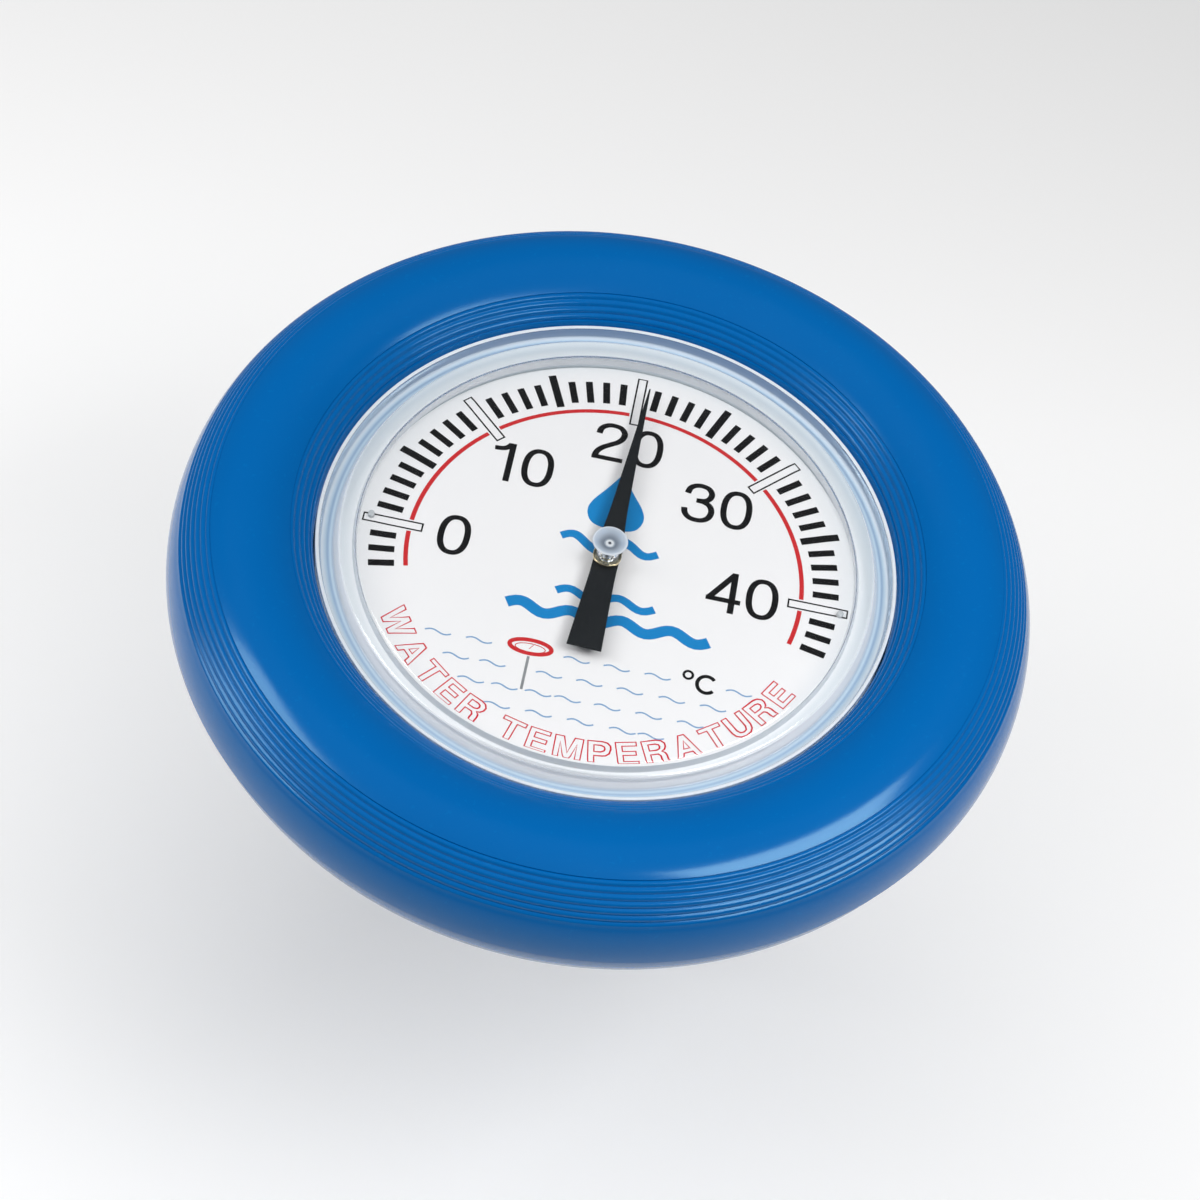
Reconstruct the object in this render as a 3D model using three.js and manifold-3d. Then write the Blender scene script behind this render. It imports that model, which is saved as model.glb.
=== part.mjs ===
// Floating pool thermometer: a hollow float ring round a dial housing, with a bimetal stem below it.
// Millimetres, +Z up. The origin is the centre of the ring in the plane of its seam, where the water
// stands when it floats. +X points to the 40 degree side of the scale and +Y to the 20 degree mark.
import * as THREE from "three";
import { mergeVertices } from "three/addons/utils/BufferGeometryUtils.js";
import Module from "manifold-3d";

const wasm = await Module();
wasm.setup();

// Clearances
const GAP = 0.3; // between pieces that touch, press together or are joined
const SEAM_GAP = 0.3; // the weld line between the two float shells
const EDGE = 0.3; // broken edge of a turned piece

// Float ring: an oval tube swept round the dial
const RING_OUTER_R = 90;
const CREST_R = 75;
const CREST_Z = 17.3;
const INNER_REACH = 17; // half width of the tube from the crest towards the bore
const OUTER_REACH = RING_OUTER_R - CREST_R;
const BORE_R = 60.5;
const KEEL_DEPTH = 16; // the oval below the seam, before its foot is cut flat
const LOWER_REACH = 14.2; // the lower shell is set back under the upper one
const SEAM_ANGLE_DEG = 1; // where the oval starts, just off the seam
const FOOT_Z = -15;
const SHELL_WALL = 2;
const LEDGE_INNER_R = 56;
const LEDGE_THICK = 2;
const LEDGE_TOP_Z = -2.4;

// Dial and scale
const DIAL_R = 54.9;
const DIAL_TOP_Z = 1;
const DIAL_THICK = 0.8;
const DIAL_HOLE_R = 1.7;
const DEGREES_PER_C = 4.5;
const MID_SCALE_C = 20; // this mark points to +Y
const READING_C = 20.5; // what the pointer shows at rest
const PEG_R = 0.8;
const PEG_CIRCLE_R = 50.4;
const PEG_TOP_Z = 2;
const PEG_TURN_DEG = -0.6;

// Housing tray and the socket for the stem
const HOUSING_R = BORE_R - GAP;
const FLOOR_TOP_Z = DIAL_TOP_Z - DIAL_THICK - GAP;
const FLOOR_BOTTOM_Z = LEDGE_TOP_Z + GAP;
const SEAT_Z = 2.8; // the step that the gasket lies on
const SEAT_INNER_R = DIAL_R + 0.4;
const SEAT_OUTER_R = 58.5;
const RIM_TOP_Z = 5.1;
const SOCKET_R = 9;
const SOCKET_SPIGOT_R = 6;
const SOCKET_BOTTOM_Z = -12;
const BEARING_HOLE_R = 3.3;
const STEM_HOLE_R = 4.4;
const STEM_HOLE_TOP_Z = -4.6;

// Lens
const LENS_LIP_TOP_Z = 9;
const LENS_LIP_R = 59.4;
const LENS_GROOVE_Z = 6.4; // floor of the groove between the window and the lip
const LENS_GROOVE_R = 56.4;
const LENS_FLANGE_BOTTOM_Z = RIM_TOP_Z + GAP;
const LENS_RIM_R = SEAT_OUTER_R - GAP;
const LENS_FOOT_Z = 4.4;
const LENS_FOOT_INNER_R = 52.4;
const WINDOW_CENTRE_Z = 10.5;
const WINDOW_EDGE_Z = 9.3;
const WINDOW_EDGE_R = 54.8;
const WINDOW_THICK = 2;
const PILLAR_R = 2.2;
const PILLAR_BOTTOM_Z = 5.7;
const PIVOT_TOP_Z = 8;

// Pointer and arbor
const ARBOR_R = 0.8;
const ARBOR_TOP_Z = 7.6;
const ARBOR_BOTTOM_Z = -41;
const RUNNING_R = ARBOR_R + GAP;
const POINTER_BOTTOM_Z = 3.8;
const POINTER_THICK = 0.4;
const POINTER_TIP_R = 47.2;
const POINTER_TAIL_R = 23.4;
const POINTER_TAIL_WIDTH = 7.2;
const POINTER_TIP_WIDTH = 0.3;
const HUB_SPIGOT_R = 1.6;
const HUB_FLANGE_R = 2.7;
const HUB_BOTTOM_Z = 2.4;
const HUB_TOP_Z = 5.3;

// Stem and what is in it
const STEM_R = 4;
const STEM_WALL = 0.5;
const STEM_TOP_Z = -5;
const STEM_BOTTOM_Z = -158;
const TIP_Z = -160;
const TIP_FACE_R = 2.6;
const INNER_R = STEM_R - STEM_WALL - GAP; // what slides into the tube
const LOWER_BEARING_TOP_Z = -30;
const LOWER_BEARING_LENGTH = 4;
const CLAMP_LENGTH = 4;
const ANCHOR_LENGTH = 4;
const PLUG_DEPTH = 5; // how far the tip plug reaches into the tube
const COIL_R = 2.7;
const COIL_STRIP_THICK = 0.4;
const COIL_STRIP_WIDTH = 3.4;
const COIL_PITCH = 5;
const COIL_STEPS = 10; // steps round each turn
const COIL_TOP_Z = -42.3;
const COIL_BOTTOM_Z = -140;

// Gland that clamps the stem to the housing
const ORING_WIRE_R = 0.9;
const ORING_R = 5.7;
const COLLAR_R = 8.8;
const COLLAR_THICK = 2;
const NUT_ACROSS_FLATS = 24;
const NUT_TOP_Z = -4.5;
const NUT_LIP = 2.3;
const NUT_LIP_R = 5;

const SLIM = 20; // segments round a slim turned piece
const OUTSIDE_STEPS = 12; // steps along the float's section
const INSIDE_STEPS = 8;
const ROUND = 48; // segments round the ring and the lens
const up = new THREE.Vector3(0, 0, 1);

// Turns a closed outline of [radius, height] points about Z. An outline may start and end on the axis.
function turned(outline, segments) {
  const points = outline.map(([r, z]) => new THREE.Vector2(r, z));
  const onAxis = outline[0][0] === 0 && outline[outline.length - 1][0] === 0;
  if (!THREE.ShapeUtils.isClockWise(points)) {
    points.reverse();
  }
  points.reverse();
  if (!onAxis) {
    points.push(points[0].clone());
  }
  return new THREE.LatheGeometry(points, segments).rotateX(Math.PI / 2);
}

// A turned tube between two heights.
function sleeve(innerR, outerR, bottomZ, topZ, segments) {
  const outline = [
    [innerR, bottomZ],
    [outerR, bottomZ],
    [outerR, topZ],
    [innerR, topZ],
  ];
  return turned(outline, segments);
}

// A flat shape standing on the plane z = bottom.
function plate(shape, thickness, bottom, curveSegments) {
  const options = { depth: thickness, bevelEnabled: false, curveSegments };
  return new THREE.ExtrudeGeometry(shape, options).translate(0, 0, bottom);
}

function circlePath(x, y, radius) {
  return new THREE.Path().absarc(x, y, radius, 0, 2 * Math.PI);
}

function solid(geometry) {
  const bare = geometry.clone();
  bare.deleteAttribute("normal");
  bare.deleteAttribute("uv");
  const merged = mergeVertices(bare, 1e-4);
  const source = {
    numProp: 3,
    vertProperties: merged.attributes.position.array,
    triVerts: new Uint32Array(merged.index.array),
  };
  return new wasm.Manifold(new wasm.Mesh(source));
}

function cut(body, tool) {
  const mesh = solid(body).subtract(solid(tool)).getMesh();
  const geometry = new THREE.BufferGeometry();
  geometry.setAttribute("position", new THREE.BufferAttribute(mesh.vertProperties, 3));
  geometry.setIndex(new THREE.BufferAttribute(mesh.triVerts, 1));
  geometry.computeVertexNormals();
  return geometry;
}

// Points along the float's oval section. Angle 0 is the outer seam, 90 the crest or keel, 180 the
// bore side. The wall is measured inwards from the outside, and height is negative below the seam.
function oval(height, wall, fromDeg, toDeg, steps) {
  const points = [];
  for (let i = 0; i <= steps; i += 1) {
    const angle = THREE.MathUtils.degToRad(fromDeg + ((toDeg - fromDeg) * i) / steps);
    const outerReach = height > 0 ? OUTER_REACH : LOWER_REACH;
    const reach = angle < Math.PI / 2 ? outerReach : INNER_REACH;
    const z = (height - Math.sign(height) * wall) * Math.sin(angle);
    points.push([CREST_R + (reach - wall) * Math.cos(angle), z]);
  }
  return points;
}

// The angle at which the section, a wall inside its outer face, meets a radius on the bore side.
function boreAngle(radius, wall) {
  return THREE.MathUtils.radToDeg(Math.acos((radius - CREST_R) / (INNER_REACH - wall)));
}

function floatUpperShell() {
  const seam = SEAM_GAP / 2;
  const innerWallR = BORE_R + SHELL_WALL;
  const outline = [
    [RING_OUTER_R, seam],
    ...oval(CREST_Z, 0, SEAM_ANGLE_DEG, boreAngle(BORE_R, 0), OUTSIDE_STEPS),
    [BORE_R, seam],
    [innerWallR, seam],
    ...oval(CREST_Z, SHELL_WALL, boreAngle(innerWallR, SHELL_WALL), SEAM_ANGLE_DEG, INSIDE_STEPS),
    [RING_OUTER_R - SHELL_WALL, seam],
  ];
  return turned(outline, ROUND);
}

function floatLowerShell() {
  const seam = -SEAM_GAP / 2;
  const lowerR = CREST_R + LOWER_REACH;
  const innerWallR = BORE_R + SHELL_WALL;
  const ledgeBottomZ = LEDGE_TOP_Z - LEDGE_THICK;
  const keelAngle = 180 - THREE.MathUtils.radToDeg(Math.asin(-ledgeBottomZ / KEEL_DEPTH));
  const flat = ([r, z]) => [r, Math.max(z, FOOT_Z)];
  const flatInside = ([r, z]) => [r, Math.max(z, FOOT_Z + SHELL_WALL)];
  const outside = oval(-KEEL_DEPTH, 0, SEAM_ANGLE_DEG, keelAngle, OUTSIDE_STEPS).map(flat);
  const insideFrom = boreAngle(innerWallR, SHELL_WALL);
  const inside = oval(-KEEL_DEPTH, SHELL_WALL, insideFrom, SEAM_ANGLE_DEG, INSIDE_STEPS).map(flatInside);
  const outline = [
    [lowerR, seam],
    ...outside,
    [LEDGE_INNER_R, ledgeBottomZ],
    [LEDGE_INNER_R, LEDGE_TOP_Z],
    [BORE_R, LEDGE_TOP_Z],
    [BORE_R, seam],
    [innerWallR, seam],
    ...inside,
    [lowerR - SHELL_WALL, seam],
  ];
  return turned(outline, ROUND);
}

function housingCup() {
  const outline = [
    [SOCKET_SPIGOT_R + GAP, FLOOR_TOP_Z],
    [SEAT_INNER_R, FLOOR_TOP_Z],
    [SEAT_INNER_R, SEAT_Z],
    [SEAT_OUTER_R, SEAT_Z],
    [SEAT_OUTER_R, RIM_TOP_Z],
    [HOUSING_R, RIM_TOP_Z],
    [HOUSING_R, FLOOR_BOTTOM_Z],
    [SOCKET_SPIGOT_R + GAP, FLOOR_BOTTOM_Z],
  ];
  return turned(outline, ROUND);
}

// Holds the upper bearing and the top of the stem. Its spigot fits the hole in the tray.
function stemSocket() {
  const shoulderZ = FLOOR_BOTTOM_Z - GAP;
  const spigotTopZ = FLOOR_TOP_Z - GAP;
  const outline = [
    [BEARING_HOLE_R, spigotTopZ],
    [SOCKET_SPIGOT_R, spigotTopZ],
    [SOCKET_SPIGOT_R, shoulderZ],
    [SOCKET_R, shoulderZ],
    [SOCKET_R, SOCKET_BOTTOM_Z],
    [STEM_HOLE_R, SOCKET_BOTTOM_Z],
    [STEM_HOLE_R, STEM_HOLE_TOP_Z],
    [BEARING_HOLE_R, STEM_HOLE_TOP_Z],
  ];
  return turned(outline, SLIM);
}

// The clear cover: a gently domed window with a deep rim, a flange, and a pillar that steadies the arbor.
function lensCover() {
  const discR = 3.6;
  const discTopZ = WINDOW_CENTRE_Z + 0.1;
  const dimpleR = 2.9;
  const dimpleDepth = 1.2;
  const edgeBevel = 0.8;
  const footFillet = 0.4;
  const windowEdgeUnderZ = WINDOW_EDGE_Z - WINDOW_THICK;
  const windowUnderZ = WINDOW_CENTRE_Z - WINDOW_THICK;
  const domeSteps = 4;
  const top = [];
  const under = [];
  for (let i = 0; i <= domeSteps; i += 1) {
    const share = i / domeSteps;
    const drop = (WINDOW_CENTRE_Z - WINDOW_EDGE_Z) * share * share;
    top.push([THREE.MathUtils.lerp(discR + EDGE, WINDOW_EDGE_R, share), WINDOW_CENTRE_Z - drop]);
    const underR = THREE.MathUtils.lerp(PILLAR_R + footFillet, LENS_FOOT_INNER_R - 2 * footFillet, share);
    under.unshift([underR, windowUnderZ - drop]);
  }
  const outline = [
    [0, discTopZ - dimpleDepth],
    [dimpleR, discTopZ],
    [discR, discTopZ],
    ...top,
    [WINDOW_EDGE_R + edgeBevel, WINDOW_EDGE_Z - edgeBevel],
    [LENS_GROOVE_R, LENS_GROOVE_Z],
    [LENS_LIP_R - GAP, LENS_GROOVE_Z],
    [LENS_LIP_R, LENS_LIP_TOP_Z],
    [HOUSING_R, LENS_LIP_TOP_Z],
    [HOUSING_R, LENS_FLANGE_BOTTOM_Z],
    [LENS_RIM_R, LENS_FLANGE_BOTTOM_Z],
    [LENS_RIM_R, LENS_FOOT_Z],
    [LENS_FOOT_INNER_R, LENS_FOOT_Z],
    [LENS_FOOT_INNER_R, windowEdgeUnderZ - footFillet],
    ...under,
    [PILLAR_R, PILLAR_BOTTOM_Z],
    [RUNNING_R, PILLAR_BOTTOM_Z],
    [RUNNING_R, PIVOT_TOP_Z],
    [0, PIVOT_TOP_Z],
  ];
  return turned(outline, ROUND);
}

function lensGasket() {
  const outerR = LENS_RIM_R - 0.5; // room to spread when it is squeezed
  return sleeve(SEAT_INNER_R + GAP, outerR, SEAT_Z + GAP, LENS_FOOT_Z - GAP, ROUND);
}

function pegCentre(side) {
  const turn = THREE.MathUtils.degToRad(PEG_TURN_DEG);
  return [side * PEG_CIRCLE_R * Math.cos(turn), side * PEG_CIRCLE_R * Math.sin(turn)];
}

function dialPlate() {
  const shape = new THREE.Shape().absarc(0, 0, DIAL_R, 0, 2 * Math.PI);
  shape.holes.push(circlePath(0, 0, DIAL_HOLE_R));
  for (const side of [-1, 1]) {
    shape.holes.push(circlePath(...pegCentre(side), PEG_R + GAP));
  }
  return plate(shape, DIAL_THICK, DIAL_TOP_Z - DIAL_THICK, ROUND / 2);
}

function dialPeg() {
  const bottomZ = FLOOR_TOP_Z + GAP;
  const roundZ = PEG_TOP_Z - EDGE;
  const outline = [
    [0, bottomZ],
    [PEG_R, bottomZ],
    [PEG_R, roundZ],
    [PEG_R - EDGE, PEG_TOP_Z],
    [0, PEG_TOP_Z],
  ];
  return turned(outline, SLIM);
}

// The pointer is drawn along +X and turned to the reading where it is placed.
function pointer() {
  const shape = new THREE.Shape();
  shape.moveTo(-POINTER_TAIL_R, -POINTER_TAIL_WIDTH / 2);
  shape.lineTo(POINTER_TIP_R, -POINTER_TIP_WIDTH / 2);
  shape.lineTo(POINTER_TIP_R, POINTER_TIP_WIDTH / 2);
  shape.lineTo(-POINTER_TAIL_R, POINTER_TAIL_WIDTH / 2);
  shape.holes.push(circlePath(0, 0, HUB_SPIGOT_R + GAP));
  return plate(shape, POINTER_THICK, POINTER_BOTTOM_Z, SLIM / 2);
}

function pointerHub() {
  const flangeZ = POINTER_BOTTOM_Z + POINTER_THICK + GAP;
  const outline = [
    [RUNNING_R, HUB_BOTTOM_Z],
    [HUB_SPIGOT_R, HUB_BOTTOM_Z],
    [HUB_SPIGOT_R, flangeZ],
    [HUB_FLANGE_R, flangeZ],
    [HUB_FLANGE_R, HUB_TOP_Z - EDGE],
    [HUB_FLANGE_R - EDGE, HUB_TOP_Z],
    [RUNNING_R, HUB_TOP_Z],
  ];
  return turned(outline, SLIM);
}

function arbor() {
  const outline = [
    [0, ARBOR_BOTTOM_Z],
    [ARBOR_R, ARBOR_BOTTOM_Z],
    [ARBOR_R, ARBOR_TOP_Z - EDGE],
    [ARBOR_R - EDGE, ARBOR_TOP_Z],
    [0, ARBOR_TOP_Z],
  ];
  return turned(outline, SLIM / 2);
}

function upperBearing() {
  return sleeve(RUNNING_R, BEARING_HOLE_R - GAP, STEM_HOLE_TOP_Z + GAP, FLOOR_TOP_Z - GAP, SLIM);
}

function lowerBearing() {
  return sleeve(RUNNING_R, INNER_R, LOWER_BEARING_TOP_Z - LOWER_BEARING_LENGTH, LOWER_BEARING_TOP_Z, SLIM);
}

function coilClamp() {
  const bottomZ = COIL_TOP_Z + GAP;
  return sleeve(RUNNING_R, COIL_R - GAP, bottomZ, bottomZ + CLAMP_LENGTH, SLIM);
}

// A helix whose section keeps one side parallel to the axis.
class Helix extends THREE.Curve {
  constructor(radius, topZ, bottomZ, turns) {
    super();
    this.radius = radius;
    this.topZ = topZ;
    this.bottomZ = bottomZ;
    this.turns = turns;
  }

  getPoint(t, target = new THREE.Vector3()) {
    const angle = 2 * Math.PI * this.turns * t;
    const z = THREE.MathUtils.lerp(this.topZ, this.bottomZ, t);
    return target.set(this.radius * Math.cos(angle), this.radius * Math.sin(angle), z);
  }

  computeFrenetFrames(segments) {
    const frames = { tangents: [], normals: [], binormals: [] };
    for (let i = 0; i <= segments; i += 1) {
      const angle = (2 * Math.PI * this.turns * i) / segments;
      const outwards = new THREE.Vector3(Math.cos(angle), Math.sin(angle), 0);
      frames.normals.push(outwards);
      frames.binormals.push(up.clone().negate());
      frames.tangents.push(new THREE.Vector3().crossVectors(outwards, up).negate());
    }
    return frames;
  }
}

function bimetalCoil() {
  const half = COIL_STRIP_THICK / 2;
  const section = new THREE.Shape();
  section.moveTo(-half, -COIL_STRIP_WIDTH / 2);
  section.lineTo(half, -COIL_STRIP_WIDTH / 2);
  section.lineTo(half, COIL_STRIP_WIDTH / 2);
  section.lineTo(-half, COIL_STRIP_WIDTH / 2);
  const top = COIL_TOP_Z - COIL_STRIP_WIDTH / 2;
  const bottom = COIL_BOTTOM_Z + COIL_STRIP_WIDTH / 2;
  const turns = Math.round((top - bottom) / COIL_PITCH);
  const path = new Helix(COIL_R - half, top, bottom, turns);
  return new THREE.ExtrudeGeometry(section, { steps: turns * COIL_STEPS, bevelEnabled: false, extrudePath: path });
}

function coilAnchor() {
  const top = COIL_BOTTOM_Z - GAP;
  const bottom = top - ANCHOR_LENGTH;
  return turned([[0, bottom], [INNER_R, bottom], [INNER_R, top], [0, top]], SLIM);
}

function stemTube() {
  return sleeve(STEM_R - STEM_WALL, STEM_R, STEM_BOTTOM_Z, STEM_TOP_Z, SLIM);
}

function stemTipPlug() {
  const shoulderZ = STEM_BOTTOM_Z - GAP;
  const outline = [
    [0, TIP_Z],
    [TIP_FACE_R, TIP_Z],
    [STEM_R, TIP_Z + STEM_R - TIP_FACE_R],
    [STEM_R, shoulderZ],
    [INNER_R, shoulderZ],
    [INNER_R, STEM_BOTTOM_Z + PLUG_DEPTH],
    [0, STEM_BOTTOM_Z + PLUG_DEPTH],
  ];
  return turned(outline, SLIM);
}

function stemOring() {
  const z = SOCKET_BOTTOM_Z - GAP - ORING_WIRE_R;
  return new THREE.TorusGeometry(ORING_R, ORING_WIRE_R, 8, SLIM).translate(0, 0, z);
}

function collarTopZ() {
  return SOCKET_BOTTOM_Z - 2 * GAP - 2 * ORING_WIRE_R;
}

function stemCollar() {
  return sleeve(STEM_R + GAP, COLLAR_R, collarTopZ() - COLLAR_THICK, collarTopZ(), SLIM);
}

function glandNut() {
  const lipTopZ = collarTopZ() - COLLAR_THICK - GAP;
  const bottomZ = lipTopZ - NUT_LIP;
  const cornerR = NUT_ACROSS_FLATS / 2 / Math.cos(Math.PI / 6);
  const hexagon = new THREE.Shape();
  for (let i = 0; i < 6; i += 1) {
    const angle = (i * Math.PI) / 3;
    const corner = [cornerR * Math.cos(angle), cornerR * Math.sin(angle)];
    if (i === 0) {
      hexagon.moveTo(...corner);
    } else {
      hexagon.lineTo(...corner);
    }
  }
  const blank = plate(hexagon, NUT_TOP_Z - bottomZ, bottomZ, 1);
  const past = 1; // the tool runs out past both faces
  const bore = turned(
    [
      [0, bottomZ - past],
      [NUT_LIP_R, bottomZ - past],
      [NUT_LIP_R, lipTopZ],
      [SOCKET_R + GAP, lipTopZ],
      [SOCKET_R + GAP, NUT_TOP_Z + past],
      [0, NUT_TOP_Z + past],
    ],
    SLIM,
  );
  return cut(blank, bore);
}

const materials = {
  bluePlastic: { color: 0x0062af, roughness: 0.35, metalness: 0 },
  clearPlastic: { color: 0xe9f0f4, roughness: 0.05, metalness: 0, transparent: true, opacity: 0.3 },
  whitePlastic: { color: 0xe9ebec, roughness: 0.4, metalness: 0 },
  silicone: { color: 0xc9d3da, roughness: 0.6, metalness: 0 },
  printedWhite: { color: 0xf2f2f0, roughness: 0.45, metalness: 0 },
  blackPaint: { color: 0x121214, roughness: 0.6, metalness: 0 },
  brass: { color: 0xc9a050, roughness: 0.25, metalness: 1 },
  steel: { color: 0xc4c7ca, roughness: 0.25, metalness: 1 },
  bimetal: { color: 0x9a8d7c, roughness: 0.35, metalness: 1 },
  blackRubber: { color: 0x17181a, roughness: 0.8, metalness: 0 },
};

const group = new THREE.Group();

function add(name, geometry, look, parent = group) {
  const mesh = new THREE.Mesh(geometry, new THREE.MeshStandardMaterial(materials[look]));
  mesh.name = name;
  parent.add(mesh);
  return mesh;
}

add("float_upper_shell", floatUpperShell(), "bluePlastic");
add("float_lower_shell", floatLowerShell(), "bluePlastic");
add("lens_cover", lensCover(), "clearPlastic");
add("lens_gasket", lensGasket(), "silicone");
add("housing_cup", housingCup(), "whitePlastic");
add("stem_socket", stemSocket(), "whitePlastic");
add("dial_plate", dialPlate(), "printedWhite");
add("dial_peg_left", dialPeg(), "silicone").position.set(...pegCentre(-1), 0);
add("dial_peg_right", dialPeg(), "silicone").position.set(...pegCentre(1), 0);
add("upper_bearing", upperBearing(), "brass");
add("lower_bearing", lowerBearing(), "brass");
add("stem_tube", stemTube(), "steel");
add("stem_tip_plug", stemTipPlug(), "steel");
add("stem_collar", stemCollar(), "steel");
add("stem_oring", stemOring(), "blackRubber");
add("gland_nut", glandNut(), "whitePlastic");
add("coil_anchor", coilAnchor(), "brass");
add("bimetal_coil", bimetalCoil(), "bimetal");

// What turns with the temperature. The scale runs clockwise seen from above.
const movement = new THREE.Group();
movement.rotation.z = Math.PI / 2 - THREE.MathUtils.degToRad((READING_C - MID_SCALE_C) * DEGREES_PER_C);
group.add(movement);
add("pointer", pointer(), "blackPaint", movement);
add("pointer_hub", pointerHub(), "brass", movement);
add("arbor", arbor(), "steel", movement);
add("coil_clamp", coilClamp(), "brass", movement);

export default group;
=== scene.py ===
"""Floating pool thermometer: a blue float ring round a white dial under a clear cover, with a steel
stem below. Pieces are turned, drawn and printed in metres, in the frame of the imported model."""
import math

import bpy
from mathutils import Matrix, Vector


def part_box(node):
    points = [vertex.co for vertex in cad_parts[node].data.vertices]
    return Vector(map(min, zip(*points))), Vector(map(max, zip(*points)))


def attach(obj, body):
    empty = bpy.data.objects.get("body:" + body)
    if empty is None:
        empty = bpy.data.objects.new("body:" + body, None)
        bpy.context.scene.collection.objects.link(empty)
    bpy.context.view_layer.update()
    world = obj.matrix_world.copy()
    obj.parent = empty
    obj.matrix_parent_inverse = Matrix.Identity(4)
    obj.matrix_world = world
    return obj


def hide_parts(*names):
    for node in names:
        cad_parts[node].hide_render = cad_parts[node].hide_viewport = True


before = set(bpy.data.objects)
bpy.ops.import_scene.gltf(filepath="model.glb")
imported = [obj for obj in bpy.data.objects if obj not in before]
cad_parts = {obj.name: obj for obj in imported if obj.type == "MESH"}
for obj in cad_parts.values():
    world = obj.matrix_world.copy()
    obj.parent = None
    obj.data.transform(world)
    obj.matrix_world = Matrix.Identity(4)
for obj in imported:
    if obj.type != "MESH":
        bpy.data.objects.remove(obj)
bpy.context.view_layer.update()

MM = 0.001
WELD = 0.001 * MM  # vertices closer than this become one
GAP = 0.3 * MM  # clearance between neighbouring pieces
RING_STEPS = 224  # steps round the widest pieces
FLOAT = "float"
MOVEMENT = "pointer_arbor"

# Heights and radii taken from the frame
RING_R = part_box("float_upper_shell")[1].x
CREST_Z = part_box("float_upper_shell")[1].z
SEAM_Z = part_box("float_upper_shell")[0].z
FOOT_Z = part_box("float_lower_shell")[0].z
COVER_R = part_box("lens_cover")[1].x
DIAL_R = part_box("dial_plate")[1].x
DIAL_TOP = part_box("dial_plate")[1].z
DIAL_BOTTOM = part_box("dial_plate")[0].z
TRAY_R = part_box("housing_cup")[1].x
TRAY_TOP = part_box("housing_cup")[1].z
TRAY_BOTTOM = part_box("housing_cup")[0].z
STEM_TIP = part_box("stem_tip_plug")[0].z

# The float's oval section
CREST_R = 75 * MM
INNER_REACH = 17 * MM
OUTER_REACH = RING_R - CREST_R
LOWER_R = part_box("float_lower_shell")[1].x
KEEL_DEPTH = 16 * MM
BORE_R = 60.5 * MM
WALL = 2 * MM

# The dial's print, as shares of the tick circle's radius
SCALE_R = 46.9 * MM
DEGREES_PER_C = 4.5
MIDDLE_C = 20
COLDEST_C, HOTTEST_C = -3, 43
TENS = range(0, 41, 10)
INK = 0.02 * MM  # the print's thickness
PRINT_Z = DIAL_TOP + INK  # its middle, just clear of the dial


# ---------------------------------------------------------------- drawing and turning


def draw(name, points):
    """Starts a piece and draws a run of points, one vertex extruded from the last. Stays in edit mode."""
    bpy.ops.object.select_all(action="DESELECT")
    bpy.ops.mesh.primitive_plane_add(size=MM)
    piece = bpy.context.object
    piece.name = name
    piece.data.name = name
    bpy.ops.object.mode_set(mode="EDIT")
    bpy.ops.mesh.merge(type="CENTER")
    bpy.ops.transform.translate(value=points[0])
    for start, end in zip(points, points[1:]):
        step = Vector(end) - Vector(start)
        bpy.ops.mesh.extrude_vertices_move(TRANSFORM_OT_translate={"value": step})
    return piece


def close_mesh():
    """Merges doubles, turns the faces outwards and leaves edit mode."""
    bpy.ops.mesh.select_all(action="SELECT")
    bpy.ops.mesh.remove_doubles(threshold=WELD)
    bpy.ops.mesh.normals_make_consistent(inside=False)
    bpy.ops.object.mode_set(mode="OBJECT")


def turned(name, outline, steps=192, smooth=32):
    """A turned piece: an outline of (radius, height) spun round Z."""
    piece = draw(name, [(r, 0, z) for r, z in outline])
    bpy.ops.mesh.select_all(action="SELECT")
    bpy.ops.mesh.spin(steps=steps, angle=2 * math.pi, center=(0, 0, 0), axis=(0, 0, 1))
    close_mesh()
    bpy.ops.object.shade_smooth_by_angle(angle=math.radians(smooth))
    return piece


def rounded(corners, radius, closed=True, steps=4):
    """An outline with each corner softened. On an open outline the two end points stay sharp."""
    outline = []
    longest = 0.45  # of the side beside a corner
    count = len(corners)
    for i, corner in enumerate(corners):
        if not closed and i in (0, count - 1):
            outline.append(corner)
            continue
        here = Vector(corner)
        before = Vector(corners[i - 1]) - here
        after = Vector(corners[(i + 1) % count]) - here
        cut = min(radius, before.length * longest, after.length * longest)
        start = here + before.normalized() * cut
        end = here + after.normalized() * cut
        for k in range(steps + 1):
            t = k / steps
            point = start * (1 - t) ** 2 + here * 2 * t * (1 - t) + end * t**2
            outline.append((point.x, point.y))
    if closed:
        outline.append(outline[0])
    return outline


def in_mm(points):
    return [(r * MM, z * MM) for r, z in points]


def ink_line(points, width, closed=False):
    """A printed line: a fine tube along (x, y) points, pressed flat onto the dial."""
    run = [(x, y, 0) for x, y in points]
    if closed:
        run.append(run[0])
    line = draw("line", run)
    bpy.ops.mesh.select_all(action="SELECT")
    bpy.ops.mesh.remove_doubles(threshold=WELD)
    bpy.ops.object.mode_set(mode="OBJECT")
    bpy.ops.object.convert(target="CURVE")
    return pressed(width)


def pressed(width):
    """Gives the active curve its printed width and presses it flat."""
    curve = bpy.context.object
    curve.data.dimensions = "3D"
    curve.data.fill_mode = "FULL"
    curve.data.bevel_depth = width / 2
    curve.data.bevel_resolution = 1
    curve.data.use_fill_caps = True
    bpy.ops.object.convert(target="MESH")
    line = bpy.context.object
    line.data.transform(Matrix.Scale(INK / width, 4, (0, 0, 1)))
    line.data.transform(Matrix.Translation((0, 0, PRINT_Z)))
    return line


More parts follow.
